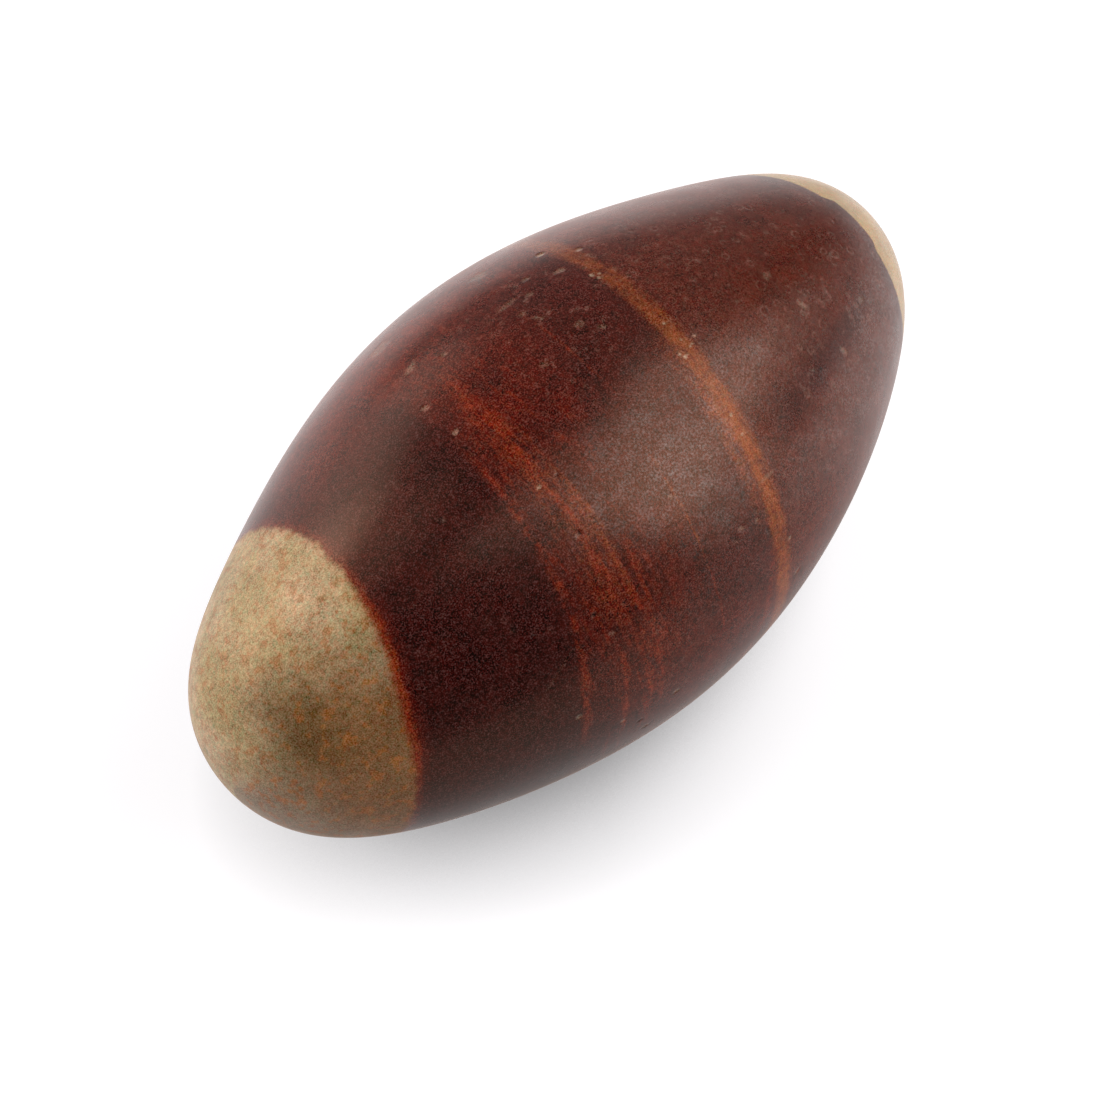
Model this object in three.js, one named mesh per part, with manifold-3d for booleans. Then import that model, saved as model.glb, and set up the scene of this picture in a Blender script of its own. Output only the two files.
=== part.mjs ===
// Shiva lingam stone: one river-worn, hand-polished cobble of banded quartz, lying on its side.
//
// Units are millimetres and +Z is up. The long axis runs along X with the pale end at -X. The origin is
// on the surface that the stone lies on, under the middle of its outline. Its caps, bands and specks are
// colour only, so the solid is the bare stone: one closed body with a small flat worn on its underside.

import * as THREE from "three";
import { mergeVertices } from "three/addons/utils/BufferGeometryUtils.js";
import Module from "manifold-3d";

// The stone as a whole.
const LENGTH = 100;
const WIDTH = 53.2;
const HEIGHT_TO_WIDTH = 0.96;

// How its outline departs from a plain egg. All are shares of the half width.
const PALE_END_FULLNESS = 0.03; // the pale end is a little fuller than the far one
const FLANK_HOLLOW = 0.627; // the flanks run in nearly straight towards the tips
const TIP_ROUNDNESS = 0.66; // and the tips stay blunt all the same

// The long axis is not quite straight: both tips lie this far to the +Y side of the middle.
const AXIS_BOW = 0.53;

// Broad, shallow swells that the river left. Each is a wave over the direction from the stone's middle.
const SWELLS = [
  { height: 0.11, along: [4.8, 5.3, 1.8], start: 3.8 },
  { height: 0.08, along: [0.4, 4.6, 4.4], start: 4.7 },
  { height: 0.06, along: [4.0, -4.9, -1.8], start: 5.8 },
];

// The worn flat that the stone rests on, as the depth of stone lost under the belly.
const FLAT_DEPTH = 0.6;

// Facets along each edge of the icosahedron that the surface is divided from.
const FACETS_PER_EDGE = 15;

const COLOUR = "#4a241e";
const ROUGHNESS = 0.35;

// Share of the half width left at a place along the axis, where u runs from -1 to 1.
function fullness(u) {
  return Math.sqrt(1 - PALE_END_FULLNESS * u - FLANK_HOLLOW * u ** 2 + TIP_ROUNDNESS * u ** 4);
}

function swell(direction) {
  let height = 0;
  for (const wave of SWELLS) {
    const phase = direction.dot(new THREE.Vector3(...wave.along)) + wave.start;
    height += wave.height * Math.sin(phase);
  }
  return height;
}

// Where the surface lies in a direction from the stone's middle.
function surfacePoint(direction) {
  const { x: u, y: v, z: w } = direction;
  const halfWidth = (WIDTH / 2) * fullness(u);
  const point = new THREE.Vector3(
    (LENGTH / 2) * u,
    halfWidth * v + AXIS_BOW * u ** 2,
    halfWidth * HEIGHT_TO_WIDTH * w,
  );
  return point.addScaledVector(direction, swell(direction));
}

// A closed mesh whose corners are shared, from any geometry with shared places.
function closedMesh(geometry) {
  const bare = geometry.clone();
  bare.deleteAttribute("normal");
  bare.deleteAttribute("uv");
  return mergeVertices(bare, 1e-5);
}

function roundStone() {
  const ball = closedMesh(new THREE.IcosahedronGeometry(1, FACETS_PER_EDGE - 1));
  const places = ball.getAttribute("position");
  const direction = new THREE.Vector3();
  for (let i = 0; i < places.count; i += 1) {
    direction.fromBufferAttribute(places, i).normalize();
    const point = surfacePoint(direction);
    places.setXYZ(i, point.x, point.y, point.z);
  }
  return ball;
}

function toManifold(wasm, geometry) {
  return new wasm.Manifold(new wasm.Mesh({
    numProp: 3,
    vertProperties: new Float32Array(geometry.getAttribute("position").array),
    triVerts: new Uint32Array(geometry.index.array),
  }));
}

function fromManifold(solid) {
  const { numProp, vertProperties, triVerts } = solid.getMesh();
  const geometry = new THREE.BufferGeometry();
  geometry.setAttribute("position", new THREE.BufferAttribute(vertProperties, numProp));
  geometry.setIndex(new THREE.BufferAttribute(triVerts, 1));
  return geometry;
}

// The round stone with its underside worn flat.
function wornStone(wasm) {
  const stone = roundStone();
  stone.computeBoundingBox();
  const flatHeight = stone.boundingBox.min.z + FLAT_DEPTH;
  const below = new THREE.BoxGeometry(LENGTH, WIDTH, WIDTH);
  below.translate(0, 0, flatHeight - WIDTH / 2);
  const worn = toManifold(wasm, stone).subtract(toManifold(wasm, closedMesh(below)));
  return fromManifold(worn);
}

// Sets the origin on the flat, under the middle of the outline.
function standOnOrigin(geometry) {
  geometry.computeBoundingBox();
  const { min, max } = geometry.boundingBox;
  geometry.translate(-(min.x + max.x) / 2, -(min.y + max.y) / 2, -min.z);
  geometry.computeVertexNormals();
  return geometry;
}

const wasm = await Module();
wasm.setup();

const finish = new THREE.MeshStandardMaterial({ color: COLOUR, roughness: ROUGHNESS, metalness: 0 });
const stone = new THREE.Mesh(standOnOrigin(wornStone(wasm)), finish);
stone.name = "stone";

const group = new THREE.Group();
group.add(stone);

export default group;
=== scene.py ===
# %% [markdown]
# # A shiva lingam stone
# The stone is one river cobble of banded quartz and jasper, rubbed smooth by hand. It has a full belly, two
# blunt tips, a pale cap on each end, one rust-orange band and many fine red streaks between them. This
# lesson models its worn surface, builds its colours from rules about beds and chips, and lights it as a
# small thing on a white table.

# %% Load the frame
import math
import random

import bmesh
import bpy
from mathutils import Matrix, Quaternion, Vector
from mathutils.kdtree import KDTree
from mathutils.noise import noise


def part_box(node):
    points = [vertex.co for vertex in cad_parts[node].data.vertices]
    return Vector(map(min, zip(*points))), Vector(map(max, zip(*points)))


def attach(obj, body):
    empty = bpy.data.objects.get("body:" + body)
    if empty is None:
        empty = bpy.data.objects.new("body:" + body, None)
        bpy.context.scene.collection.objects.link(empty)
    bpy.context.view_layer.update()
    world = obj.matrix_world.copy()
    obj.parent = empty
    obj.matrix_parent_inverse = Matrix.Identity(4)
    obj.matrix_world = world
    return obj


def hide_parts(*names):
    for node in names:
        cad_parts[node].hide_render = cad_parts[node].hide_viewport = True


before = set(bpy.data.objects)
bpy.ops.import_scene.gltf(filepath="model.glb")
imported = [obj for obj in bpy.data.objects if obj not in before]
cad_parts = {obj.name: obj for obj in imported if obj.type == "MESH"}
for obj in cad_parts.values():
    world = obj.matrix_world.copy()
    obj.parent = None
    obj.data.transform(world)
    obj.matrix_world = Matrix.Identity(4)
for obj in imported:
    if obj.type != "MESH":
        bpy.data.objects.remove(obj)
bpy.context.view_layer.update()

STONE_LOW, STONE_HIGH = (Vector(corner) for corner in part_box("stone"))
MM = 0.001
print("The stone's box, mm:", [round(side / MM, 1) for side in STONE_HIGH - STONE_LOW])

# %% [markdown]
# ## The worn shape
# A river stone is a ball that has been drawn out and rubbed down, so that is how it is made here. A unit
# sphere is stretched along X, narrowed towards its tips by one smooth rule, and lifted by three broad,
# shallow swells. An icosphere is the best ball to start from: its triangles are all about one size, and it
# has no poles to pinch the reflections at the tips. The rule is the one that the solid was made by, so the
# two agree to a few hundredths of a millimetre.

# %% The shape's few driving sizes
LENGTH = 100 * MM
WIDTH = 53.2 * MM
HEIGHT_TO_WIDTH = 0.96
PALE_END_FULLNESS = 0.03
FLANK_HOLLOW = 0.627
TIP_ROUNDNESS = 0.66
AXIS_BOW = 0.53 * MM
FLAT_DEPTH = 0.6 * MM
SWELLS = [
    (0.11 * MM, Vector((4.8, 5.3, 1.8)), 3.8),
    (0.08 * MM, Vector((0.4, 4.6, 4.4)), 4.7),
    (0.06 * MM, Vector((4.0, -4.9, -1.8)), 5.8),
]


def surface_point(direction):
    """Where the stone's surface lies in a direction from its middle."""
    u, v, w = direction
    fullness = math.sqrt(1 - PALE_END_FULLNESS * u - FLANK_HOLLOW * u**2 + TIP_ROUNDNESS * u**4)
    half_width = WIDTH / 2 * fullness
    point = Vector((LENGTH / 2 * u, half_width * v + AXIS_BOW * u**2, half_width * HEIGHT_TO_WIDTH * w))
    swell = sum(height * math.sin(direction.dot(along) + start) for height, along, start in SWELLS)
    return point + direction * swell


print("The tips, mm from the middle:", [round(surface_point(Vector((u, 0, 0))).x / MM, 1) for u in (-1, 1)])


# %% Draw the ball out into the stone
SPHERE_LEVELS = 7

stone_form = bmesh.new()
bmesh.ops.create_icosphere(stone_form, subdivisions=SPHERE_LEVELS, radius=1.0)
for vertex in stone_form.verts:
    vertex.co = surface_point(vertex.co.normalized())
print("Faces in the drawn-out ball:", len(stone_form.faces))

# %% [markdown]
# ## Chips, flecks and ring marks
# Years of tumbling left small marks all over: pale pits where a grain broke out, dark pits with grime in
# them, pale flecks level with the surface, and ring cracks from blows. The ones that catch the eye are
# listed one by one, by where they lie along the stone and how far round it they are turned. The flank and the
# belly that face away carry as many, and those are strewn by a seeded draw. Each is pressed into the mesh,
# so it catches the light as a real hollow does, and its colour goes into an attribute for the material to
# read.

# %% Places of the named marks
CHIPS = [
    # x mm, turn deg, half length, half width, lean deg, depth mm, pale 1 to dark -1
    (9.4, -31.5, 0.50, 0.35, 0, 0.10, 1.0), (12.2, -24.5, 0.35, 0.30, 0, 0.06, 0.4),
    (8.0, -21.0, 0.75, 0.35, 10, 0.05, 0.3), (0.8, -22.0, 1.30, 0.35, 0, 0.03, 0.16),
    (5.0, -25.5, 0.50, 0.30, 0, 0.04, 0.25), (-10.7, -29.5, 0.95, 0.42, -15, 0.04, 0.30),
    (-8.8, -48.0, 1.30, 1.00, 0, 0.03, 0.22), (3.7, -40.5, 0.90, 1.00, 0, 0.03, 0.28),
    (-7.8, -24.0, 0.35, 0.25, 40, 0.05, 0.3), (-13.8, -16.8, 0.45, 0.30, 20, 0.05, 0.3),
    (-14.2, -5.5, 0.35, 0.28, 0, 0.06, 0.45), (-12.8, 19.0, 0.24, 0.20, 0, 0.06, 0.6),
    (4.8, 0.3, 0.45, 0.30, 30, 0.04, 0.25), (1.2, -12.5, 0.70, 0.30, 60, 0.03, 0.22),
    (0.7, -16.5, 0.50, 0.35, 0, 0.03, 0.2), (3.3, -20.0, 0.50, 0.35, 0, 0.03, 0.2),
    (-2.8, -2.0, 0.50, 0.40, 0, 0.03, 0.2), (3.3, -4.0, 0.60, 0.45, 0, 0.03, 0.25),
    (-21.9, 75.5, 0.32, 0.26, 0, 0.07, 0.5), (-10.9, 88.0, 0.40, 0.25, 0, 0.07, 0.5),
    (-14.5, 97.0, 0.50, 0.30, 0, 0.07, 0.5), (8.0, 84.0, 0.45, 0.28, 0, 0.06, 0.35),
    (7.5, 71.0, 0.30, 0.22, 0, 0.05, 0.4), (-15.6, 58.0, 0.35, 0.28, 0, 0.04, 0.2),
    (2.0, 57.5, 0.35, 0.25, 30, 0.06, 0.3), (4.2, 59.0, 0.30, 0.22, 0, 0.05, 0.35),
    (-3.1, 40.0, 0.35, 0.28, 0, 0.05, 0.35), (-17.5, 86.5, 0.35, 0.22, 0, 0.05, 0.4),
    (25.4, 29.0, 0.75, 0.28, 70, 0.03, 0.30), (7.6, 52.8, 1.10, 0.24, 4, 0.03, 0.22),
    (-22.2, 59.5, 2.80, 0.18, -32, 0.01, 0.08), (24.3, 16.0, 0.60, 0.45, 0, 0.03, 0.22),
    (27.0, 49.0, 0.65, 0.30, 60, 0.03, 0.30), (34.1, 44.0, 0.50, 0.40, 0, 0.03, 0.2),
    (-21.7, 8.0, 0.40, 0.30, 0, 0.08, -0.7), (-10.6, 19.5, 0.25, 0.22, 0, 0.08, -0.8),
    (-12.9, 33.0, 0.25, 0.22, 0, 0.08, -0.8), (-16.3, 51.0, 0.32, 0.26, 0, 0.08, -0.8),
    (-23.5, 42.0, 0.25, 0.22, 0, 0.07, -0.7), (5.0, 64.0, 0.60, 0.25, 80, 0.05, -0.8),
    (0.7, 58.5, 0.50, 0.35, 20, 0.05, -0.7), (4.5, 57.0, 0.28, 0.22, 0, 0.07, -0.7),
    (-15.4, 91.0, 0.30, 0.25, 0, 0.07, -0.7), (-13.0, 53.0, 0.22, 0.20, 0, 0.06, -0.6),
    (-49.4, -62.0, 0.55, 0.40, 0, 0.08, 0.5),
]
BAND_FLECKS = [
    # x mm, turn deg, half width mm
    (8.4, 17.5, 0.16), (8.7, 18.8, 0.22), (9.1, 18.6, 0.14), (9.8, 15.0, 0.14), (10.0, 17.6, 0.14),
    (10.4, 17.4, 0.14), (11.3, 16.3, 0.16), (9.9, 9.2, 0.16), (9.7, -11.5, 0.20), (9.5, -13.5, 0.24),
    (10.2, -12.5, 0.18), (8.2, 36.0, 0.16), (7.9, 41.0, 0.14),
]
RINGS = [
    # x mm, turn deg
    (24.3, 16), (30.5, 14.5), (33, 16), (35.2, 17), (38.3, 13.5), (28.7, 22), (32, 22.5), (35.3, 22.5),
    (29, 26), (34.5, 24.5), (25.5, 28), (25, 31), (22.5, 28.5), (37.5, 28), (27.5, 31), (29.5, 33),
    (35.5, 39), (22.5, 40), (18.5, 47), (27, 49.5), (25.5, 1), (26.8, 2), (24, 10), (24.8, -6.5),
    (31.5, -8.5), (37.5, -14), (20, -10), (18, -21), (20.5, -18), (14, -25), (17, 4), (31, 3), (34, -1),
    (26.3, 26.8), (26.0, 29.6), (33.6, 21.3), (36.2, 23.6), (30.2, 17.8), (21, 45), (31, 45), (12.5, -7),
]
FLECK_DEPTH = 0.02
FLECK_TONE = 0.9


def place(x, turn):
    """The surface point that lies x millimetres along the stone and turned so far round it."""
    u = x * MM / (LENGTH / 2)
    around = Vector((0, -math.sin(math.radians(turn)), math.cos(math.radians(turn)) / HEIGHT_TO_WIDTH))
    around *= math.sqrt(1 - u**2) / around.length
    return surface_point(Vector((u, around.y, around.z)))


marks = []


def add_mark(kind, x, turn, half_length, half_width, lean, depth, tone):
    marks.append((place(x, turn), half_length * MM, half_width * MM, lean, depth * MM, tone, kind))


for chip in CHIPS:
    add_mark("chip", *chip)
for x, turn, half_width in BAND_FLECKS:
    add_mark("chip", x, turn, half_width, half_width, 0, FLECK_DEPTH, FLECK_TONE)
print("Chips and flecks placed by hand:", len(marks))

# %% Ring cracks, and the marks on the sides that face away
RING_RADII = (0.40, 0.60)
RING_TONES = (0.5, 1.0)
STREWN_CHIPS, STREWN_RINGS = 34, 22
STREWN_TURNS = (118, 296)
CHIP_TONES = (0.25, 0.35, 0.5, -0.7)

random.seed(7)
for x, turn in RINGS:
    radius = random.uniform(*RING_RADII)
    roundness, lean, tone = random.uniform(0.8, 1), random.uniform(0, 180), random.uniform(*RING_TONES)
    add_mark("ring", x, turn, radius, radius * roundness, lean, FLECK_DEPTH, tone)
for _ in range(STREWN_CHIPS):
    half_width = random.uniform(0.25, 0.50)
    x, turn, stretch = random.uniform(-30, 34), random.uniform(*STREWN_TURNS), random.uniform(1, 1.8)
    lean, depth, tone = random.uniform(0, 180), random.uniform(0.04, 0.08), random.choice(CHIP_TONES)
    add_mark("chip", x, turn, half_width * stretch, half_width, lean, depth, tone)
for _ in range(STREWN_RINGS):
    radius = random.uniform(*RING_RADII)
    x, turn, tone = random.uniform(12, 34), random.uniform(*STREWN_TURNS), random.uniform(*RING_TONES)
    add_mark("ring", x, turn, radius, radius, 0, FLECK_DEPTH, tone)
print("Marks in all:", len(marks))


# %% Split the mesh more finely round each mark
MARK_SPLITS = 2
MARK_REACH = 1.8
SPLIT_MARGIN = 0.3 * MM


def vertex_finder(form):
    finder = KDTree(len(form.verts))
    for index, vertex in enumerate(form.verts):
        finder.insert(vertex.co, index)
    finder.balance()
    form.verts.ensure_lookup_table()
    return finder


for _ in range(MARK_SPLITS):
    finder = vertex_finder(stone_form)
    near = set()
    for centre, half_length, *_ in marks:
        for _, index, _ in finder.find_range(centre, half_length * MARK_REACH + SPLIT_MARGIN):
            near.update(stone_form.verts[index].link_edges)
    bmesh.ops.subdivide_edges(stone_form, edges=list(near), cuts=1, use_grid_fill=True)
bmesh.ops.triangulate(stone_form, faces=[face for face in stone_form.faces if len(face.verts) > 3])
print("Faces after splitting:", len(stone_form.faces))

# %% How strongly a mark shows at a distance
# Distances are shares of the mark's own half length and half width.
RAGGEDNESS, RAG_SIZE = 0.35, 0.45 * MM
RING_MIDDLE, RING_HALF_WIDTH = 0.9, 0.35
RING_KEPT, RING_GAPS, RING_GAP_SIZE = 0.7, 1.8, 0.8 * MM
CHIP_RIM, CHIP_SLOPE = 1.35, 0.7


def strength_of(kind, distance, spot):
    """From 1 inside a chip or on a ring to 0 off it, with a ragged edge and gaps worn in the rings."""
    distance += RAGGEDNESS * noise(spot / RAG_SIZE)
    if kind == "ring":
        kept = min(1.0, max(0.0, RING_KEPT + RING_GAPS * noise(spot / RING_GAP_SIZE)))
        return kept * max(0.0, 1 - abs(distance - RING_MIDDLE) / RING_HALF_WIDTH)
    return min(1.0, max(0.0, (CHIP_RIM - distance) / CHIP_SLOPE))


# %% Press the marks in and note their colours
pale_layer = stone_form.verts.layers.float.new("pale mark")
dark_layer = stone_form.verts.layers.float.new("dark mark")
ring_layer = stone_form.verts.layers.float.new("ring mark")
stone_form.normal_update()
finder = vertex_finder(stone_form)
for centre, half_length, half_width, lean, depth, tone, kind in marks:
    found = finder.find_range(centre, half_length * MARK_REACH)
    inward = -stone_form.verts[finder.find(centre)[1]].normal
    along = Vector((1, 0, 0)) - inward * inward.x
    along.rotate(Quaternion(inward, math.radians(lean)))
    along.normalize()
    across = along.cross(inward)
    for _, index, _ in found:
        vertex = stone_form.verts[index]
        offset = vertex.co - centre
        distance = math.hypot(offset.dot(along) / half_length, offset.dot(across) / half_width)
        strength = strength_of(kind, distance, vertex.co)
        layer = ring_layer if kind == "ring" else pale_layer if tone > 0 else dark_layer
        vertex[layer] = max(vertex[layer], strength * abs(tone))
        vertex.co += inward * depth * strength
print("Corners touched by a ring:", sum(vertex[ring_layer] > 0 for vertex in stone_form.verts))

# %% Stand the stone at its place
lows = [min(vertex.co[axis] for vertex in stone_form.verts) for axis in range(3)]
highs = [max(vertex.co[axis] for vertex in stone_form.verts) for axis in range(3)]
MIDDLE = Vector((-(lows[0] + highs[0]) / 2, -(lows[1] + highs[1]) / 2, -(lows[2] + FLAT_DEPTH)))
bmesh.ops.translate(stone_form, verts=stone_form.verts, vec=MIDDLE)
print("The stone's middle, mm:", [round(part / MM, 3) for part in MIDDLE])

# %% [markdown]
# ## The flat that it rests on
# A stone with no flat at all would rock. The bottom 0.6 mm is sliced off level, and the cut is filled.

# %% Slice the underside
cut = bmesh.ops.bisect_plane(
    stone_form,
    geom=stone_form.verts[:] + stone_form.edges[:] + stone_form.faces[:],
    plane_co=(0, 0, 0),
    plane_no=(0, 0, -1),
    clear_outer=True,
)
rim = [item for item in cut["geom_cut"] if isinstance(item, bmesh.types.BMEdge)]
bmesh.ops.contextual_create(stone_form, geom=rim)
bmesh.ops.triangulate(stone_form, faces=[face for face in stone_form.faces if len(face.verts) > 3])
print("Edges round the flat:", len(rim))

# %% Turn the form into the stone's mesh
for face in stone_form.faces:
    face.smooth = True
stone_mesh = bpy.data.meshes.new("lingam")
stone_form.to_mesh(stone_mesh)
stone_form.free()
lingam = bpy.data.objects.new("lingam", stone_mesh)
bpy.context.collection.objects.link(lingam)
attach(lingam, "root")
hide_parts("stone")
print("Faces in the stone:", len(stone_mesh.polygons))

# %% [markdown]
# ## Writing shader nodes in Python
# The stone's colours are worked out point by point, so its material is a long sum. These helpers each add
# one node and hand back its result, which lets the sum read from top to bottom like ordinary code.

# %% Helpers that each add one node
def link_or_set(tree, socket, value):
    if isinstance(value, bpy.types.NodeSocket):
        tree.links.new(value, socket)
    elif value is not None:
        socket.default_value = value


def maths(tree, operation, *values, clamp=False):
    node = tree.nodes.new("ShaderNodeMath")
    node.operation = operation
    node.use_clamp = clamp
    for socket, value in zip(node.inputs, values):
        link_or_set(tree, socket, value)
    return node.outputs[0]


def product(tree, first, *others):
    for other in others:
        first = maths(tree, "MULTIPLY", first, other)
    return first


def smooth_step(tree, value, start, end):
    """Runs from 0 at start to 1 at end, with no corner at either."""
    node = tree.nodes.new("ShaderNodeMapRange")
    node.interpolation_type = "SMOOTHSTEP"
    for name, number in (("Value", value), ("From Min", start), ("From Max", end)):
        link_or_set(tree, node.inputs[name], number)
    return node.outputs["Result"]


def noise_at(tree, point, size, seed=0.0, detail=2.0, roughness=0.5, stretch=(1, 1, 1)):
    """Noise whose broadest blots are about `size` millimetres across, each seed a pattern of its own."""
    mapping = tree.nodes.new("ShaderNodeMapping")
    mapping.inputs["Location"].default_value = (seed * 17.3, seed * -9.1, seed * 5.7)
    mapping.inputs["Scale"].default_value = [part / size for part in stretch]
    tree.links.new(point, mapping.inputs["Vector"])
    node = tree.nodes.new("ShaderNodeTexNoise")
    node.inputs["Scale"].default_value = 1.0
    node.inputs["Detail"].default_value = detail
    node.inputs["Roughness"].default_value = roughness
    tree.links.new(mapping.outputs["Vector"], node.inputs["Vector"])
    return node.outputs["Fac"]


def centred(tree, value, height):
    """Turns noise round 0.5 into noise round 0 that reaches about as far as `height`."""
    return maths(tree, "MULTIPLY", maths(tree, "SUBTRACT", value, 0.5), 2 * height)


def combine(tree, red, green, blue):
    node = tree.nodes.new("ShaderNodeCombineColor")
    for socket, value in zip(node.inputs, (red, green, blue)):
        link_or_set(tree, socket, value)
    return node.outputs[0]


def blend_colours(tree, factor, below, above, blend_type="MIX"):
    node = tree.nodes.new("ShaderNodeMix")
    node.data_type = "RGBA"
    node.blend_type = blend_type
    colour_inputs = [socket for socket in node.inputs if socket.type == "RGBA"]
    colour_output = next(socket for socket in node.outputs if socket.type == "RGBA")
    link_or_set(tree, node.inputs[0], factor)
    for socket, value in zip(colour_inputs, (below, above)):
        link_or_set(tree, socket, value if isinstance(value, bpy.types.NodeSocket) else (*value[:3], 1.0))
    return colour_output


# %% [markdown]
# ## Beds through the stone
# The stone was cut by the river out of flat-lying beds of silt, so every edge, band and streak on it is the
# trace of a nearly level sheet. A sheet is written as x = place + lean_y * y + lean_z * z, in millimetres
# from the stone's middle. The near cap's sheet also arches and twists a little. A node group works out how
# far any point is from such a sheet. It beats painting, because the marks then run right round the stone
# and meet.

# %% The distance from a bed, as a node group
def make_bed_distance_group():
    group = bpy.data.node_groups.new("Bed distance", "ShaderNodeTree")
    group.interface.new_socket("Point", in_out="INPUT", socket_type="NodeSocketVector")
    for name in ("Wander", "Place", "Lean Y", "Lean Z", "Arch", "Twist"):
        group.interface.new_socket(name, in_out="INPUT", socket_type="NodeSocketFloat")
    group.interface.new_socket("Distance", in_out="OUTPUT", socket_type="NodeSocketFloat")
    given = group.nodes.new("NodeGroupInput").outputs
    result = group.nodes.new("NodeGroupOutput").inputs
    split = group.nodes.new("ShaderNodeSeparateXYZ")
    group.links.new(given["Point"], split.inputs[0])
    x, y, z = split.outputs
    squares = maths(group, "SUBTRACT", product(group, y, y), product(group, z, z))
    rise = maths(group, "ADD", product(group, squares, given["Arch"]), product(group, y, z, given["Twist"]))
    rise = maths(group, "MULTIPLY_ADD", y, given["Lean Y"], rise)
    rise = maths(group, "MULTIPLY_ADD", z, given["Lean Z"], rise)
    sheet = maths(group, "ADD", rise, given["Place"])
    distance = maths(group, "SUBTRACT", maths(group, "ADD", x, given["Wander"]), sheet)
    group.links.new(distance, result["Distance"])
    return group


BED_DISTANCE = make_bed_distance_group()
BEDS = {
    # place in mm, lean_y, lean_z, arch, twist
    "near cap": (-36.0, 0.161, 0.186, -0.0026, 0.0014),
    "red edge": (-20.8, 0.067, 0.237, 0, 0),
    "red streak": (-13.3, 0.088, 0.081, 0, 0),
    "long streak": (-14.15, 0.018, 0.172, 0, 0),
    "forked streak": (-7.4, 0.217, 0.077, 0, 0),
    "short streak": (-16.4, 0.041, 0.168, 0, 0),
    "hairline": (-0.45, 0.136, 0.007, 0, 0),
    "upper hairline": (0.6, 0.07, -0.014, 0, 0),
    "orange band": (7.67, 0.103, 0.106, 0, 0),
    "band fork": (3.7, 0.08, 0.324, 0, 0),
    "far cap": (38.1, -0.141, 0.237, 0, 0),
}
print("Beds:", len(BEDS))


def distance_from(tree, stone, bed, wander=None):
    node = tree.nodes.new("ShaderNodeGroup")
    node.node_tree = BED_DISTANCE
    tree.links.new(stone["point"], node.inputs["Point"])
    tree.links.new(stone["wander"] if wander is None else wander, node.inputs["Wander"])
    for name, value in zip(("Place", "Lean Y", "Lean Z", "Arch", "Twist"), BEDS[bed]):
        node.inputs[name].default_value = value
    return node.outputs["Distance"]


def streak(tree, distance, half_width, softness):
    """1 within the half width of a sheet, fading to 0 over the softness on each side."""
    inner = max(half_width - softness, 0.0)
    return smooth_step(tree, maths(tree, "ABSOLUTE", distance), half_width + softness, inner)


def between_turns(tree, stone, start, end, fade):
    """1 between two turns round the stone, in degrees, fading out at both."""
    rise = smooth_step(tree, stone["turn"], start - fade, start + fade)
    fall = smooth_step(tree, stone["turn"], end + fade, end - fade)
    return product(tree, rise, fall)


# %% [markdown]
# ## Where a point is
# Three numbers place every mark: the point itself, in millimetres from the stone's middle, its turn about
# the long axis (0 degrees at the crown, 90 on the side that faces -Y), and a wander. The wander is noise in
# three sizes that shifts the beds to and fro, because no bed is ruled straight.

# %% Point, turn and wander
WANDERS = [
    # size and height in mm, detail, roughness
    (16, 0.35, 1, 0.5),
    (3.5, 0.22, 2, 0.5),
    (0.5, 0.16, 2, 0.7),
]


def place_on_stone(tree):
    coords = tree.nodes.new("ShaderNodeTexCoord")
    mapping = tree.nodes.new("ShaderNodeMapping")
    mapping.inputs["Location"].default_value = -MIDDLE / MM
    mapping.inputs["Scale"].default_value = (1 / MM,) * 3
    tree.links.new(coords.outputs["Object"], mapping.inputs["Vector"])
    point = mapping.outputs["Vector"]

    split = tree.nodes.new("ShaderNodeSeparateXYZ")
    tree.links.new(point, split.inputs[0])
    x, y, z = split.outputs
    turn = maths(tree, "DEGREES", maths(tree, "ARCTAN2", maths(tree, "MULTIPLY", y, -1), z))

    wander = 0.0
    for seed, (size, height, detail, roughness) in enumerate(WANDERS, 1):
        wave = centred(tree, noise_at(tree, point, size, seed, detail, roughness), height)
        wander = maths(tree, "ADD", wander, wave)
    return {"point": point, "x": x, "turn": turn, "wander": wander}


# %% [markdown]
# ## The dark body
# Between the caps the stone is jasper, stained by iron: nearly black maroon beside the pale cap, a deep red
# from the first streak to the band, and a browner red beyond it. The top of the red part is the most vivid.
# The colours are blended one over another, from the broadest zone to the narrowest, as a painter glazes.
# Each colour is how much red, green and blue light the stone gives back.

# %% Body colours
MAROON = (0.038, 0.0024, 0.0012)
PAINTED_SHADE_MAROON = (0.018, 0.0016, 0.0010)
DEEP_RED = (0.054, 0.0050, 0.0020)
BROWN_RED = (0.078, 0.0130, 0.0058)
VIVID_RED = (0.100, 0.0085, 0.0014)
RUST = (0.165, 0.0190, 0.0025)
RUSTY_BROWN = (0.180, 0.0360, 0.0060)
ORANGE = (0.265, 0.0600, 0.0110)
DUSTY_ORANGE = (0.200, 0.0480, 0.0140)
ROSY = (0.190, 0.0900, 0.0700)
CHIP_PALE = (0.370, 0.245, 0.170)
GRIME = (0.012, 0.0040, 0.0030)
FAR_CAP_STEP = 0.8


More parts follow.
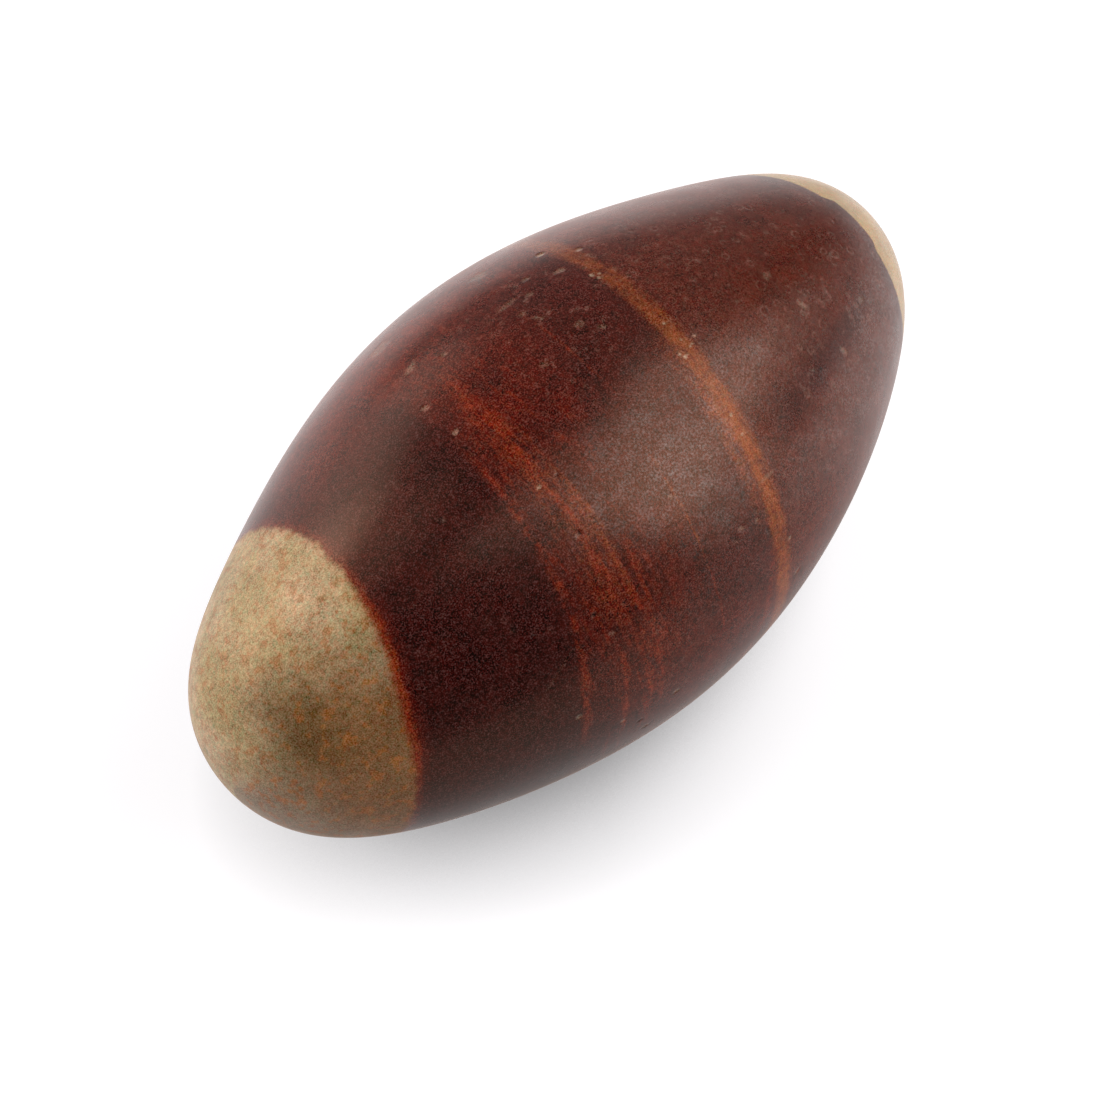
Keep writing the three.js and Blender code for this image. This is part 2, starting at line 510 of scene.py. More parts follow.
def colour_body(tree, stone):
    first = distance_from(tree, stone, "red edge")
    band = distance_from(tree, stone, "orange band")
    step = product(tree, between_turns(tree, stone, 1, 34, 3), -FAR_CAP_STEP)
    far = distance_from(tree, stone, "far cap", maths(tree, "ADD", stone["wander"], step))
    colour = blend_colours(tree, smooth_step(tree, first, -1.2, 1.4), MAROON, DEEP_RED)
    colour = blend_colours(tree, smooth_step(tree, band, -2.0, 3.0), colour, BROWN_RED)

    # The vivid red lies along the crown, and leans out into blots.
    crown = between_turns(tree, stone, -75, 14, 16)
    blots = smooth_step(tree, noise_at(tree, stone["point"], 6, seed=4, detail=4, roughness=0.65), 0.34, 0.64)
    reach = product(tree, smooth_step(tree, first, -1.2, 1.6), smooth_step(tree, band, -4.0, -17.0))
    colour = blend_colours(tree, product(tree, crown, blots, reach, 0.7), colour, VIVID_RED)

    # Painted shade darkens the side that lies low.
    # The far flank is rustier, and the belly's low edge blushes red.
    x = stone["x"]
    low = product(tree, between_turns(tree, stone, 62, 200, 16), smooth_step(tree, x, 4, -8), 0.25)
    colour = blend_colours(tree, low, colour, PAINTED_SHADE_MAROON)
    flank = product(tree, between_turns(tree, stone, -96, -31, 13), smooth_step(tree, x, -36, -20), 0.50)
    colour = blend_colours(tree, flank, colour, RUST)
    blush = product(tree, between_turns(tree, stone, 74, 118, 12), smooth_step(tree, x, -22, -8), 0.30)
    colour = blend_colours(tree, blush, colour, RUST)

    # A darker seam runs towards the far cap, high on the near side.
    seam = product(tree, between_turns(tree, stone, 42, 49, 6), smooth_step(tree, x, 8, 17))
    colour = blend_colours(tree, product(tree, seam, smooth_step(tree, x, 38, 28), 0.9), colour, MAROON)

    # It darkens over the last two millimetres before the far cap, whose edge steps back at the crown.
    colour = blend_colours(tree, product(tree, smooth_step(tree, far, -2.6, -0.6), 0.6), colour, MAROON)
    return colour, first, band, far


# %% [markdown]
# ## Red streaks
# The streaks are thinner sheets in the same set of beds. Each has a half width, a softness, a strength and
# the turns between which it shows, since most of them pinch out. Some come to light again on the side that
# faces away. Grain drawn out along the beds breaks every one into strands.

# %% Streaks
STREAKS = [
    # bed, half width, softness, colour, strength, first and last turn, fade
    ("red streak", 1.60, 1.50, RUSTY_BROWN, 0.50, 4, 52, 12),
    ("red edge", 0.35, 0.50, RUST, 0.90, 4, 82, 14),
    ("red streak", 1.20, 1.20, RUST, 0.50, -28, 34, 14),
    ("red streak", 0.35, 0.40, RUST, 0.90, -24, 60, 8),
    ("long streak", 0.30, 0.40, RUSTY_BROWN, 0.85, 22, 56, 8),
    ("long streak", 0.38, 0.45, RUST, 0.95, 50, 88, 8),
    ("forked streak", 0.30, 0.40, RUST, 0.90, 40, 82, 6),
    ("short streak", 0.16, 0.30, RUST, 0.75, 64, 90, 6),
    ("hairline", 0.10, 0.18, RUSTY_BROWN, 0.95, 30, 58, 6),
    ("hairline", 0.08, 0.18, RUST, 0.60, 58, 82, 6),
    ("upper hairline", 0.08, 0.20, RUST, 0.55, -20, 12, 8),
    ("red edge", 0.30, 0.50, RUST, 0.60, -150, -96, 14),
    ("red streak", 0.35, 0.45, RUST, 0.75, -168, -92, 12),
    ("long streak", 0.30, 0.40, RUST, 0.60, -140, -104, 10),
    ("forked streak", 0.30, 0.40, RUST, 0.65, -128, -90, 10),
    ("forked streak", 0.30, 0.40, RUST, 0.60, 118, 160, 10),
    ("hairline", 0.10, 0.18, RUSTY_BROWN, 0.80, -150, -112, 8),
]


def add_streaks(tree, stone, colour, first):
    strands = noise_at(tree, stone["point"], 4.5, seed=5, detail=5, roughness=0.62, stretch=(7, 1, 1))
    grain = noise_at(tree, stone["point"], 0.9, seed=6, detail=3, roughness=0.7)
    broken = maths(tree, "ADD", product(tree, strands, 0.65), product(tree, grain, 0.35))
    for bed, half_width, softness, tint, strength, start, end, fade in STREAKS:
        mask = streak(tree, distance_from(tree, stone, bed), half_width, softness)
        mask = product(tree, mask, between_turns(tree, stone, start, end, fade), strength)
        mask = product(tree, mask, smooth_step(tree, broken, 0.39, 0.58))
        colour = blend_colours(tree, mask, colour, tint)

    # Faint strands fill the beds between the red edge and the forked streak.
    threads = smooth_step(tree, strands, 0.50, 0.66)
    zone = product(tree, smooth_step(tree, first, 0.0, 1.0), smooth_step(tree, first, 12.0, 8.5))
    colour = blend_colours(tree, product(tree, threads, zone, 0.45), colour, RUST)

    # The beds among them are washed with rust on the near side.
    wash = streak(tree, maths(tree, "SUBTRACT", first, 8.0), 6.5, 4.5)
    wash = product(tree, wash, between_turns(tree, stone, 38, 78, 12), 0.34)
    wash = product(tree, wash, smooth_step(tree, broken, 0.34, 0.60))
    return blend_colours(tree, wash, colour, RUST)


print("Streaks:", len(STREAKS))


# %% [markdown]
# ## The orange band
# The band is a sheet of iron-stained sand a little over 2 mm thick. It is dustier over the crown, has a
# thinner and redder sheet beside it high on the near side, and lets go of a thin fork low on that side.

# %% The band
BAND_HALF_WIDTH, BAND_SOFTNESS = 1.10, 0.65
SHEET_GAP, SHEET_HALF_WIDTH, SHEET_SOFTNESS = 1.9, 0.80, 0.55


def add_band(tree, stone, colour, band):
    strands = noise_at(tree, stone["point"], 6, seed=7, detail=5, roughness=0.65, stretch=(6, 1, 1))
    grain = noise_at(tree, stone["point"], 1.0, seed=8, detail=4, roughness=0.75)
    texture = maths(tree, "ADD", product(tree, strands, 0.5), product(tree, grain, 0.5))
    beside = streak(tree, maths(tree, "ADD", band, SHEET_GAP), SHEET_HALF_WIDTH, SHEET_SOFTNESS)
    beside = product(tree, beside, between_turns(tree, stone, 16, 56, 14), 0.8)
    beside = product(tree, beside, smooth_step(tree, texture, 0.34, 0.54))
    colour = blend_colours(tree, beside, colour, RUSTY_BROWN)
    full = streak(tree, band, BAND_HALF_WIDTH, BAND_SOFTNESS)
    wash = product(tree, full, smooth_step(tree, texture, 0.32, 0.56), 0.85)
    crown = smooth_step(tree, stone["turn"], -5, 35)
    tint = blend_colours(tree, crown, DUSTY_ORANGE, ORANGE)
    colour = blend_colours(tree, wash, colour, tint)
    fork = streak(tree, distance_from(tree, stone, "band fork"), 0.35, 0.5)
    fork = product(tree, fork, between_turns(tree, stone, 68, 125, 8), 0.6)
    return blend_colours(tree, fork, colour, RUST)


# %% [markdown]
# ## The pale caps
# Both tips are pale quartzite. The near cap is tan with a greenish cast, freckled orange, and stained brown
# over a patch on its lower half. Its lower half is also painted a darker tan, partly its own browner colour
# and partly painted shade. Iron has gathered along its edge as a thin red-orange line with a dark red halo
# behind it. The far cap is cleaner, with a crisp edge.

# %% The caps
TAN = (0.420, 0.290, 0.160)
OLIVE_TAN = (0.350, 0.250, 0.115)
PAINTED_SHADE_TAN = (0.162, 0.101, 0.060)
FRECKLE = (0.300, 0.105, 0.025)
STAIN = (0.182, 0.074, 0.020)
DARK_STAIN = (0.085, 0.039, 0.007)
EDGE_ORANGE = (0.210, 0.0300, 0.0050)
CLEAN_PALE = (0.390, 0.232, 0.085)


def patch(tree, point, centre, size, softness):
    """A soft-edged blot: 1 inside an ellipsoid and 0 well outside it."""
    mapping = tree.nodes.new("ShaderNodeMapping")
    mapping.vector_type = "TEXTURE"
    mapping.inputs["Location"].default_value = centre
    mapping.inputs["Scale"].default_value = size
    tree.links.new(point, mapping.inputs["Vector"])
    length = tree.nodes.new("ShaderNodeVectorMath")
    length.operation = "LENGTH"
    tree.links.new(mapping.outputs["Vector"], length.inputs[0])
    ragged = centred(tree, noise_at(tree, point, 3, seed=11, detail=4, roughness=0.7), 0.5)
    return smooth_step(tree, maths(tree, "ADD", length.outputs["Value"], ragged), 1 + softness, 1 - softness)


def add_caps(tree, stone, colour, far):
    point = stone["point"]
    scallops = centred(tree, noise_at(tree, point, 2.2, seed=23, detail=2, roughness=0.6), 0.55)
    near = distance_from(tree, stone, "near cap", maths(tree, "ADD", stone["wander"], scallops))
    middle = between_turns(tree, stone, 12, 66, 18)

    # The red halo and line on the body's side of the near edge.
    halo = product(tree, smooth_step(tree, near, 2.2, 0.2), maths(tree, "MULTIPLY_ADD", middle, 0.55, 0.25))
    colour = blend_colours(tree, halo, colour, VIVID_RED)
    line = streak(tree, maths(tree, "SUBTRACT", near, 0.25), 0.18, 0.55)
    line = product(tree, line, maths(tree, "MULTIPLY_ADD", middle, 0.62, 0.33))
    colour = blend_colours(tree, line, colour, EDGE_ORANGE)

    olive = smooth_step(tree, noise_at(tree, point, 7, seed=12, detail=3), 0.4, 0.62)
    pale = blend_colours(tree, olive, TAN, OLIVE_TAN)
    # The lower half turns a darker tan: partly the cap's own browner colour, partly painted shade.
    lower = smooth_step(tree, stone["turn"], -5, 60)
    pale = blend_colours(tree, product(tree, lower, 0.74), pale, PAINTED_SHADE_TAN)
    stain = patch(tree, point, (-39.5, -12.0, 6.0), (6.5, 13.0, 13.0), 0.4)
    pale = blend_colours(tree, product(tree, stain, 0.7), pale, STAIN)
    core = patch(tree, point, (-43.4, -4.0, 10.8), (3.4, 5.0, 4.2), 0.6)
    pale = blend_colours(tree, product(tree, core, 0.55), pale, DARK_STAIN)
    freckles = smooth_step(tree, noise_at(tree, point, 1.2, seed=13, detail=2, roughness=0.6), 0.51, 0.65)
    freckles = product(tree, freckles, maths(tree, "MULTIPLY_ADD", lower, 0.35, 0.50))
    pale = blend_colours(tree, freckles, pale, FRECKLE)
    rim = product(tree, smooth_step(tree, near, -0.9, 0.1), maths(tree, "MULTIPLY_ADD", middle, 0.45, 0.30))
    pale = blend_colours(tree, rim, pale, EDGE_ORANGE)
    near_mask = smooth_step(tree, near, 0.32, -0.32)
    colour = blend_colours(tree, near_mask, colour, pale)

    far_mask = smooth_step(tree, far, -0.18, 0.18)
    dusty = smooth_step(tree, noise_at(tree, point, 5, seed=14, detail=3), 0.42, 0.6)
    clean = blend_colours(tree, product(tree, dusty, 0.5), CLEAN_PALE, TAN)
    colour = blend_colours(tree, far_mask, colour, clean)
    return colour, near_mask


# %% [markdown]
# ## Ring marks
# A tumbling stone is struck thousands of times. A light blow leaves a tiny ring crack, which shows as a
# pale ring or crescent a millimetre across. A Voronoi pattern scatters centres through the stone, and the
# ring is where the distance from the nearest centre is close to one value. Each cell's random colour
# decides if it has a ring, and how wide.

# %% Ring marks, as a node group
def make_ring_marks_group():
    group = bpy.data.node_groups.new("Ring marks", "ShaderNodeTree")
    group.interface.new_socket("Point", in_out="INPUT", socket_type="NodeSocketVector")
    for name in ("Spacing", "Share"):
        group.interface.new_socket(name, in_out="INPUT", socket_type="NodeSocketFloat")
    group.interface.new_socket("Mask", in_out="OUTPUT", socket_type="NodeSocketFloat")
    given = group.nodes.new("NodeGroupInput").outputs
    result = group.nodes.new("NodeGroupOutput").inputs
    cells = group.nodes.new("ShaderNodeTexVoronoi")
    group.links.new(given["Point"], cells.inputs["Vector"])
    group.links.new(maths(group, "DIVIDE", 1.0, given["Spacing"]), cells.inputs["Scale"])
    chance = group.nodes.new("ShaderNodeSeparateColor")
    group.links.new(cells.outputs["Color"], chance.inputs[0])
    distance = product(group, cells.outputs["Distance"], given["Spacing"])
    radius = maths(group, "MULTIPLY_ADD", chance.outputs["Green"], 0.35, 0.30)
    ring = streak(group, maths(group, "SUBTRACT", distance, radius), 0.04, 0.16)
    chosen = maths(group, "LESS_THAN", chance.outputs["Red"], given["Share"])
    worn = smooth_step(group, noise_at(group, given["Point"], 1.2, seed=15, detail=2), 0.38, 0.58)
    group.links.new(product(group, ring, chosen, worn), result["Mask"])
    return group


RING_MARKS = make_ring_marks_group()


def ring_marks(tree, point, spacing, share):
    node = tree.nodes.new("ShaderNodeGroup")
    node.node_tree = RING_MARKS
    tree.links.new(point, node.inputs["Point"])
    node.inputs["Spacing"].default_value = spacing
    node.inputs["Share"].default_value = share
    return node.outputs["Mask"]


def attribute(tree, name):
    node = tree.nodes.new("ShaderNodeAttribute")
    node.attribute_name = name
    return node.outputs["Fac"]


def add_marks(tree, stone, colour, near_mask, far):
    point = stone["point"]
    colour = blend_colours(tree, product(tree, attribute(tree, "ring mark"), 0.65), colour, ROSY)
    colour = blend_colours(tree, product(tree, attribute(tree, "pale mark"), 0.8), colour, CHIP_PALE)
    colour = blend_colours(tree, product(tree, attribute(tree, "dark mark"), 0.85), colour, GRIME)
    many = product(tree, smooth_step(tree, stone["x"], 12, 24), between_turns(tree, stone, -35, 60, 14))
    amount = maths(tree, "MULTIPLY_ADD", many, 0.75, 0.25)
    rings = maths(tree, "MAXIMUM", ring_marks(tree, point, 2.0, 0.55), ring_marks(tree, point, 1.4, 0.3))
    body = product(tree, maths(tree, "SUBTRACT", 1.0, near_mask), smooth_step(tree, far, 0.0, -1.0))
    colour = blend_colours(tree, product(tree, rings, amount, body, 0.4), colour, ROSY)

    # Rosy blots lie among the vivid red of the crown.
    blots = smooth_step(tree, noise_at(tree, point, 1.5, seed=16, detail=3, roughness=0.6), 0.56, 0.70)
    crown = product(tree, between_turns(tree, stone, -34, 10, 10), smooth_step(tree, stone["x"], -8, -1))
    crown = product(tree, crown, smooth_step(tree, stone["x"], 24, 12))
    return blend_colours(tree, product(tree, blots, crown, body, 0.36), colour, ROSY)


# %% [markdown]
# ## Grain
# Seen close, the stone is made of grains, which show as specks of 0.1 to 0.7 mm. One noise covers the three
# middling sizes with equal strength, which takes a roughness of 1, and a second adds the dust. Each speck
# is lighter or darker, a little redder or greyer, and lies on top of a soft mottling. The caps are paler,
# so the same specks show less strongly there, and past the band the rock is finer and they weaken again.

# %% Grain
MOTTLE_SIZE, MOTTLE_DEPTH = 3.0, 0.45
CRUMB_SIZE, CRUMB_DEPTH = 0.7, 0.9
DUST_SIZE, DUST_DEPTH = 0.15, 0.7
HUE_SIZE, HUE_DEPTH = 0.4, 0.5
GRIT_SIZE = 0.55
CRUMB_GREY, DUST_GREY = 0.018, 0.070
DARKEST = (0.0020, 0.0010, 0.0008)


def add_grain(tree, stone, colour, near_mask, band, far):
    point = stone["point"]
    caps = maths(tree, "ADD", near_mask, smooth_step(tree, far, -0.1, 0.1))
    calm = maths(tree, "MULTIPLY_ADD", streak(tree, band, 1.0, 0.6), 0.4, product(tree, caps, 0.40))
    depth = maths(tree, "SUBTRACT", 1.0, calm)
    coarse = maths(tree, "MULTIPLY_ADD", smooth_step(tree, stone["x"], 8, 26), -0.5, 1.0)
    mottle = centred(tree, noise_at(tree, point, MOTTLE_SIZE, seed=9, detail=1, roughness=0.7), MOTTLE_DEPTH)
    crumb = centred(tree, noise_at(tree, point, CRUMB_SIZE, seed=10, detail=2, roughness=1.0), CRUMB_DEPTH)
    dust = centred(tree, noise_at(tree, point, DUST_SIZE, seed=19, detail=0), DUST_DEPTH)
    speck = product(tree, maths(tree, "ADD", crumb, dust), coarse)
    light = product(tree, maths(tree, "ADD", speck, mottle), depth)
    hue = centred(tree, noise_at(tree, point, HUE_SIZE, seed=20, detail=1, roughness=1.0), HUE_DEPTH)
    hue = product(tree, hue, depth)
    redder = maths(tree, "ADD", maths(tree, "ADD", light, hue), 1.0)
    greyer = maths(tree, "ADD", maths(tree, "SUBTRACT", light, hue), 1.0)
    colour = blend_colours(tree, 1.0, colour, combine(tree, redder, greyer, greyer), "MULTIPLY")

    # Black grit lies in the part before the band, and dust greys the whole.
    grit = smooth_step(tree, noise_at(tree, point, GRIT_SIZE, seed=24, detail=1), 0.70, 0.78)
    grit = product(tree, grit, smooth_step(tree, stone["x"], 12, 4), maths(tree, "SUBTRACT", 1.0, caps), 0.6)
    colour = blend_colours(tree, grit, colour, GRIME)
    grey = maths(tree, "ADD", product(tree, crumb, CRUMB_GREY), product(tree, dust, coarse, DUST_GREY))
    colour = blend_colours(tree, 1.0, colour, combine(tree, grey, grey, grey), "ADD")
    return blend_colours(tree, 1.0, colour, DARKEST, "LIGHTEN")


# %% [markdown]
# ## The polish
# The stone is rubbed to a satin gloss. Its reflection is soft and uneven, because the grains differ in
# hardness and stand a few thousandths of a millimetre proud. The near cap is more porous, and duller. The
# Principled shader's own gloss stands for the stone, and its coat for the film of polish on top, because
# the two can then vary apart. A touch of sheen stands for the dust in the pores.

# %% Gloss, film and relief
GLOSS_ROUGHNESS, GLOSS_VARIATION, CAP_DULLNESS = 0.28, 0.10, 0.15
RELIEF_SIZE, RELIEF_HEIGHT, RELIEF_STRENGTH = 0.8, 0.03 * MM, 0.45
FILM_MEAN = 0.15
BLOTCH_SIZE, BLOTCH_DEPTH = 3.2, 0.65
SPECK_SIZE, SPECK_DEPTH = 0.22, 1.1


def add_polish(tree, shader, stone, near_mask, band):
    point = stone["point"]
    cloudy = centred(tree, noise_at(tree, point, 5, seed=17, detail=4, roughness=0.6), GLOSS_VARIATION)
    roughness = maths(tree, "ADD", cloudy, GLOSS_ROUGHNESS)
    roughness = maths(tree, "MULTIPLY_ADD", near_mask, CAP_DULLNESS, roughness)
    tree.links.new(roughness, shader.inputs["Roughness"])
    shader.inputs["IOR"].default_value = 1.5
    shader.inputs["Specular Tint"].default_value = (0.85, 0.45, 0.28, 1)
    shader.inputs["Sheen Weight"].default_value = 0.35
    shader.inputs["Sheen Roughness"].default_value = 0.16
    shader.inputs["Sheen Tint"].default_value = (1.0, 0.65, 0.52, 1)

    # The rubbed film of polish lies thickest on the belly, in blotches and specks.
    film = centred(tree, noise_at(tree, point, BLOTCH_SIZE, seed=21, detail=4, roughness=0.7), BLOTCH_DEPTH)
    specks = centred(tree, noise_at(tree, point, SPECK_SIZE, seed=22, detail=1), SPECK_DEPTH)
    film = maths(tree, "ADD", maths(tree, "ADD", film, specks), FILM_MEAN, clamp=True)
    belly = maths(tree, "MULTIPLY_ADD", smooth_step(tree, stone["x"], -28, -8), 0.75, 0.25)
    near_side = maths(tree, "MULTIPLY_ADD", between_turns(tree, stone, 8, 70, 20), 0.8, 0.2)
    sandy = maths(tree, "MULTIPLY_ADD", streak(tree, band, 1.0, 0.6), -0.5, 1.0)
    tree.links.new(product(tree, film, belly, near_side, sandy), shader.inputs["Coat Weight"])
    shader.inputs["Coat Roughness"].default_value = 0.27
    shader.inputs["Coat IOR"].default_value = 1.5


def add_relief(tree, shader, stone):
    relief = noise_at(tree, stone["point"], RELIEF_SIZE, seed=18, detail=4, roughness=0.75)
    bump = tree.nodes.new("ShaderNodeBump")
    bump.inputs["Strength"].default_value = RELIEF_STRENGTH
    bump.inputs["Distance"].default_value = RELIEF_HEIGHT
    tree.links.new(relief, bump.inputs["Height"])
    tree.links.new(bump.outputs["Normal"], shader.inputs["Normal"])


# %% The stone's material
def make_stone_material():
    material = bpy.data.materials.new("banded stone")
    material.use_nodes = True
    tree = material.node_tree
    tree.nodes.clear()
    out = tree.nodes.new("ShaderNodeOutputMaterial")
    shader = tree.nodes.new("ShaderNodeBsdfPrincipled")
    tree.links.new(shader.outputs[0], out.inputs["Surface"])

    stone = place_on_stone(tree)
    colour, first, band, far = colour_body(tree, stone)
    colour = add_streaks(tree, stone, colour, first)
    colour = add_band(tree, stone, colour, band)
    colour, near_mask = add_caps(tree, stone, colour, far)
    colour = add_marks(tree, stone, colour, near_mask, far)
    colour = add_grain(tree, stone, colour, near_mask, band, far)
    tree.links.new(colour, shader.inputs["Base Color"])
    add_polish(tree, shader, stone, near_mask, band)
    add_relief(tree, shader, stone)
    print("Nodes in the stone's material:", len(tree.nodes))
    return material


stone_mesh.materials.append(make_stone_material())

# %% [markdown]
# ## The table
# The stone lies on a wide white board. To the camera the board also glows a little: a painted glow, which
# keeps its shadows light, with a painted shadow in it that is darkest where the stone touches and lightest on
# the side of the large softbox. What the stone itself receives from the board is another painted glow, set
# apart: it falls off faster towards the place where they touch, and is stronger beyond the tips. The gloss
# mirrors a third painted glow of the board where the stone is seen edge on, most of all behind it, and that
# painted reflection pales its rims.

# %% How bright the board's painted glow and shadow are from place to place
SHADE_REACH = 15.5 * MM
SOFTBOX_SIDE = (0.7, -0.7, 0.0)
SHADE_SLOPE = 30.0
LEAST_SHADE, MOST_SHADE = 0.05, 0.9
TOUCHING_UP_TO = 0.61
WAIST = -8 * MM
GLOW_SEEN = 0.78
GLOW_CAST, GLOW_CAST_FAR, CAST_POWER = 0.17, 0.50, 3.0
LOSS_BEHIND = 0.6
GLOW_MIRRORED, GLOW_MIRRORED_FAR = 0.41, 0.62
LOSS_BEFORE = 0.5
TIP_START = 35 * MM


def painted_glow_seen(tree, position, openness):
    """Painted glow for the camera, and painted shadow: dark where the stone touches, less towards the
    softbox.
    """
    towards = tree.nodes.new("ShaderNodeVectorMath")
    towards.operation = "DOT_PRODUCT"
    towards.inputs[1].default_value = SOFTBOX_SIDE
    tree.links.new(position, towards.inputs[0])
    shade = maths(tree, "MULTIPLY_ADD", towards.outputs["Value"], -SHADE_SLOPE, 1.0)
    shade = maths(tree, "MAXIMUM", maths(tree, "MINIMUM", shade, MOST_SHADE), LEAST_SHADE)
    # Painted contact shadow: the glow fades out where the stone nearly touches the board.
    touching = smooth_step(tree, openness, 0.0, TOUCHING_UP_TO)
    return product(tree, maths(tree, "POWER", openness, shade), touching, GLOW_SEEN)


def painted_glow_cast(tree, openness, tipwards, y):
    """The painted glow that the board throws on the stone: more from beyond the tips, and less from behind.
    """
    away = maths(tree, "MULTIPLY_ADD", maths(tree, "MAXIMUM", y, 0.0), -LOSS_BEHIND, tipwards)
    cast = smooth_step(tree, away, 30 * MM, 85 * MM)
    cast = maths(tree, "MULTIPLY_ADD", cast, GLOW_CAST_FAR, GLOW_CAST)
    # Painted shade: the cast glow falls off steeply where the stone comes near the board.
    return product(tree, maths(tree, "POWER", openness, CAST_POWER), cast)


def painted_glow_mirrored(tree, glow, tipwards, y):
    """The painted reflection in the polish: most of all the board behind the stone and beyond its tips."""
    beyond = maths(tree, "MULTIPLY_ADD", maths(tree, "MINIMUM", y, 0.0), LOSS_BEFORE, tipwards)
    outer = maths(tree, "MAXIMUM", y, maths(tree, "SUBTRACT", beyond, TIP_START))
    share = smooth_step(tree, outer, -10 * MM, 30 * MM)
    return product(tree, glow, maths(tree, "MULTIPLY_ADD", share, GLOW_MIRRORED_FAR, GLOW_MIRRORED))


# %% The white board
BOARD_SIDE = 2.4
BOARD_WHITE = (0.34, 0.337, 0.34)
BOARD_CAST = (0.30, 0.295, 0.29)
BOARD_GLOW_COLOUR = (1, 0.985, 1, 1)


def make_board():
    bpy.ops.mesh.primitive_plane_add(size=BOARD_SIDE, location=(0, 0, 0))
    board = bpy.context.object
    board.name = "white board"
    material = bpy.data.materials.new("white board")
    material.use_nodes = True
    tree = material.node_tree
    shader = tree.nodes["Principled BSDF"]
    shader.inputs["Roughness"].default_value = 0.8
    shader.inputs["Specular IOR Level"].default_value = 0.0
    shader.inputs["Emission Color"].default_value = BOARD_GLOW_COLOUR
    # An ambient-occlusion test paints the shadow near the stone into the board's glow.
    shade = tree.nodes.new("ShaderNodeAmbientOcclusion")
    shade.samples = 8
    shade.inputs["Distance"].default_value = SHADE_REACH
    openness = shade.outputs["AO"]
    position = tree.nodes.new("ShaderNodeTexCoord").outputs["Object"]
    side = tree.nodes.new("ShaderNodeSeparateXYZ")
    tree.links.new(position, side.inputs[0])
    x, y, _ = side.outputs
    tipwards = maths(tree, "ABSOLUTE", maths(tree, "SUBTRACT", x, WAIST))

    # Camera, glossy and other rays each see their own painted glow, and other rays see a darker board.
    rays = tree.nodes.new("ShaderNodeLightPath").outputs
    seen = painted_glow_seen(tree, position, openness)
    cast = painted_glow_cast(tree, openness, tipwards, y)
    mirrored = painted_glow_mirrored(tree, seen, tipwards, y)
    glow = maths(tree, "MULTIPLY_ADD", maths(tree, "SUBTRACT", seen, cast), rays["Is Camera Ray"], cast)
    glow = maths(tree, "MULTIPLY_ADD", maths(tree, "SUBTRACT", mirrored, cast), rays["Is Glossy Ray"], glow)
    tree.links.new(glow, shader.inputs["Emission Strength"])
    white = blend_colours(tree, rays["Is Camera Ray"], BOARD_CAST, BOARD_WHITE)
    tree.links.new(white, shader.inputs["Base Color"])
    board.data.materials.append(material)
    print("The board's side, m:", BOARD_SIDE)


make_board()

# %% [markdown]
# ## Lights
# Polished stone shows its surroundings, so each light is set by where its reflection should fall. A large
# softbox stands to the right, with a hotter middle. Another stands low behind the pale cap, with panels
# beside, below and above it. The room between them is dim, although the camera sees a pale backdrop beyond
# the board.

# %% Softboxes
def compass(azimuth, elevation):
    """A direction: azimuth 0 is towards -Y and 90 towards +X, as seen from the stone."""
    turn, lift = math.radians(azimuth), math.radians(elevation)
    return Vector((math.sin(turn) * math.cos(lift), -math.cos(turn) * math.cos(lift), math.sin(lift)))


def add_softbox(name, azimuth, elevation, half_width, half_height, radiance, distance=0.9, shape="RECTANGLE"):
    """A light that faces the stone, with half sizes in degrees as seen from it, and a brightness."""
    light = bpy.data.lights.new(name, "AREA")
    light.shape = shape
    light.size = 2 * distance * math.tan(math.radians(half_width))
    light.size_y = 2 * distance * math.tan(math.radians(half_height))
    area = light.size * light.size_y * (math.pi / 4 if shape == "ELLIPSE" else 1)
    light.energy = radiance * math.pi * area
    lamp = bpy.data.objects.new(name, light)
    bpy.context.collection.objects.link(lamp)
    away = compass(azimuth, elevation)
    lamp.location = MIDDLE + away * distance
    lamp.rotation_euler = away.to_track_quat("Z", "Y").to_euler()
    lamp.visible_camera = False
    print(name, "gives", round(light.energy, 1), "W")


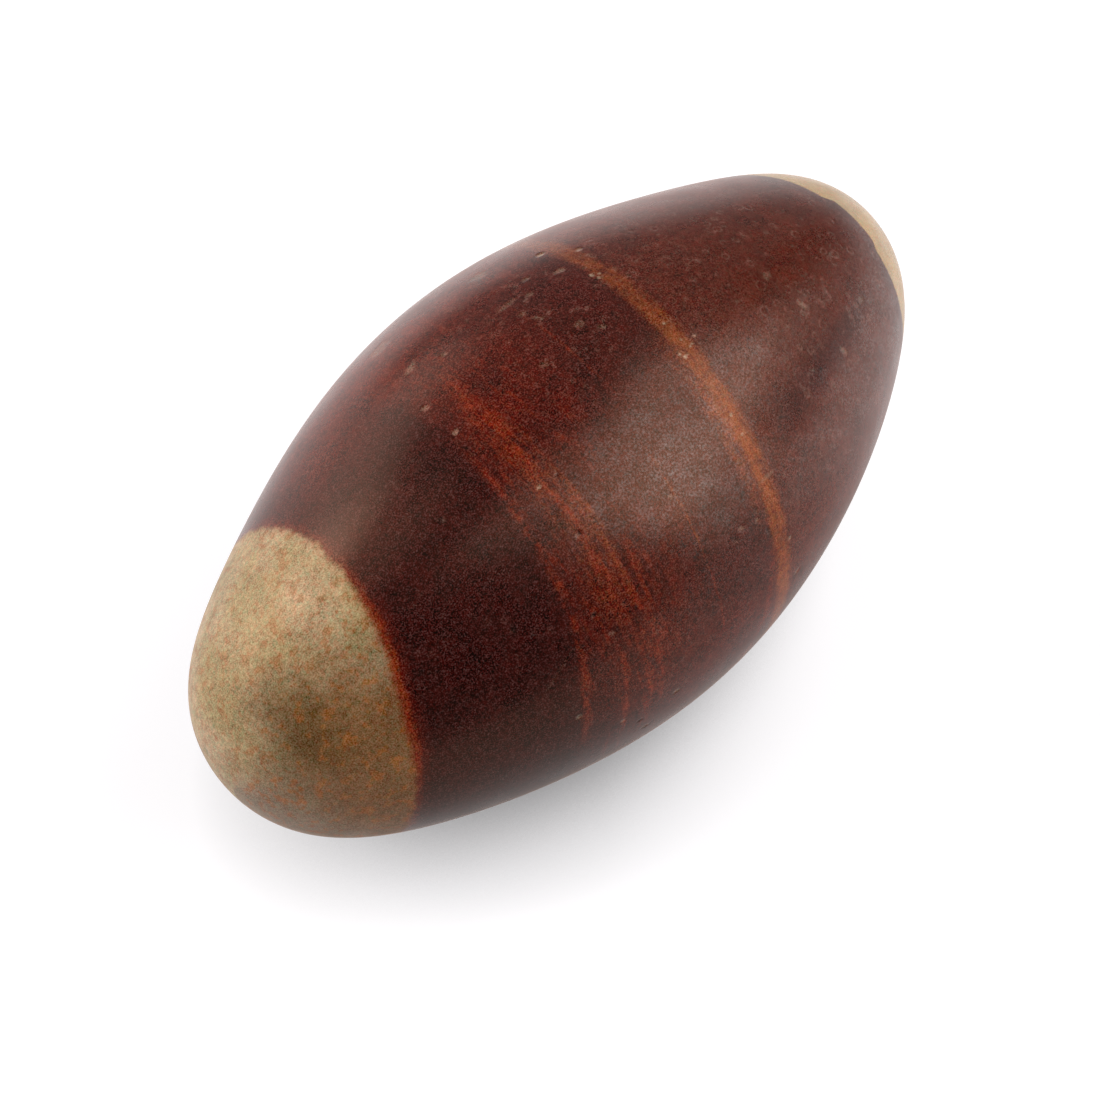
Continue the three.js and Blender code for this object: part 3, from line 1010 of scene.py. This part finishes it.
add_softbox("right softbox", 44, 46, 27, 22, 3.0)
add_softbox("right softbox, lower half", 34, 14, 15, 12, 1.9)
add_softbox("right panel", 66, 18, 12, 12, 0.7)
add_softbox("right softbox core", 34, 38, 16, 15, 1.0, distance=0.88, shape="ELLIPSE")
add_softbox("overhead panel", 10, 76, 18, 10, 1.2)
add_softbox("back left panel", -138, 62, 13, 10, 0.9)
add_softbox("back left softbox", -146, 26, 16, 22, 5.7)
add_softbox("back softbox", -178, 25, 17, 12, 1.7)
add_softbox("low back panel", -174, 2, 13, 10, 1.3)
add_softbox("far wall", 130, 34, 30, 28, 0.22)

# %% The room
DIM_ROOM = (0.05, 0.05, 0.05)
PALE_BACKDROP = (0.88, 0.88, 0.88)

world = bpy.data.worlds.new("room")
bpy.context.scene.world = world
world.use_nodes = True
room = world.node_tree
by_camera = room.nodes.new("ShaderNodeLightPath").outputs["Is Camera Ray"]
room_colour = blend_colours(room, by_camera, DIM_ROOM, PALE_BACKDROP)
room.links.new(room_colour, room.nodes["Background"].inputs["Color"])
print("Nodes in the room:", len(room.nodes))

# %% [markdown]
# ## Camera
# The camera looks down at 58 degrees from beyond the pale end, close enough for the near cap to loom a
# little. It is set by its bearing, height and distance from the stone, which are easier to think in than X,
# Y and Z. The colours are shown as they are, with no film curve, so that the whites stay white.

# %% Camera
CAMERA_AZIMUTH = -46.6
CAMERA_ELEVATION = 58.0
CAMERA_DISTANCE = 0.280
AIM_RIGHT = -2.0 * MM
AIM_UP = -6.46 * MM
SENSOR = 36.0
FOCAL_LENGTH = 83.83

camera_data = bpy.data.cameras.new("camera")
camera_data.sensor_width = SENSOR
camera_data.lens = FOCAL_LENGTH
camera_data.clip_start = 0.01
camera = bpy.data.objects.new("camera", camera_data)
bpy.context.collection.objects.link(camera)
backward = compass(CAMERA_AZIMUTH, CAMERA_ELEVATION)
camera.rotation_euler = backward.to_track_quat("Z", "Y").to_euler()
rightward, upward, _ = camera.rotation_euler.to_matrix().col
camera.location = MIDDLE + rightward * AIM_RIGHT + upward * AIM_UP + backward * CAMERA_DISTANCE
bpy.context.scene.camera = camera
print("The camera's place, mm:", [round(part / MM) for part in camera.location])
bpy.context.scene.view_settings.view_transform = "Standard"
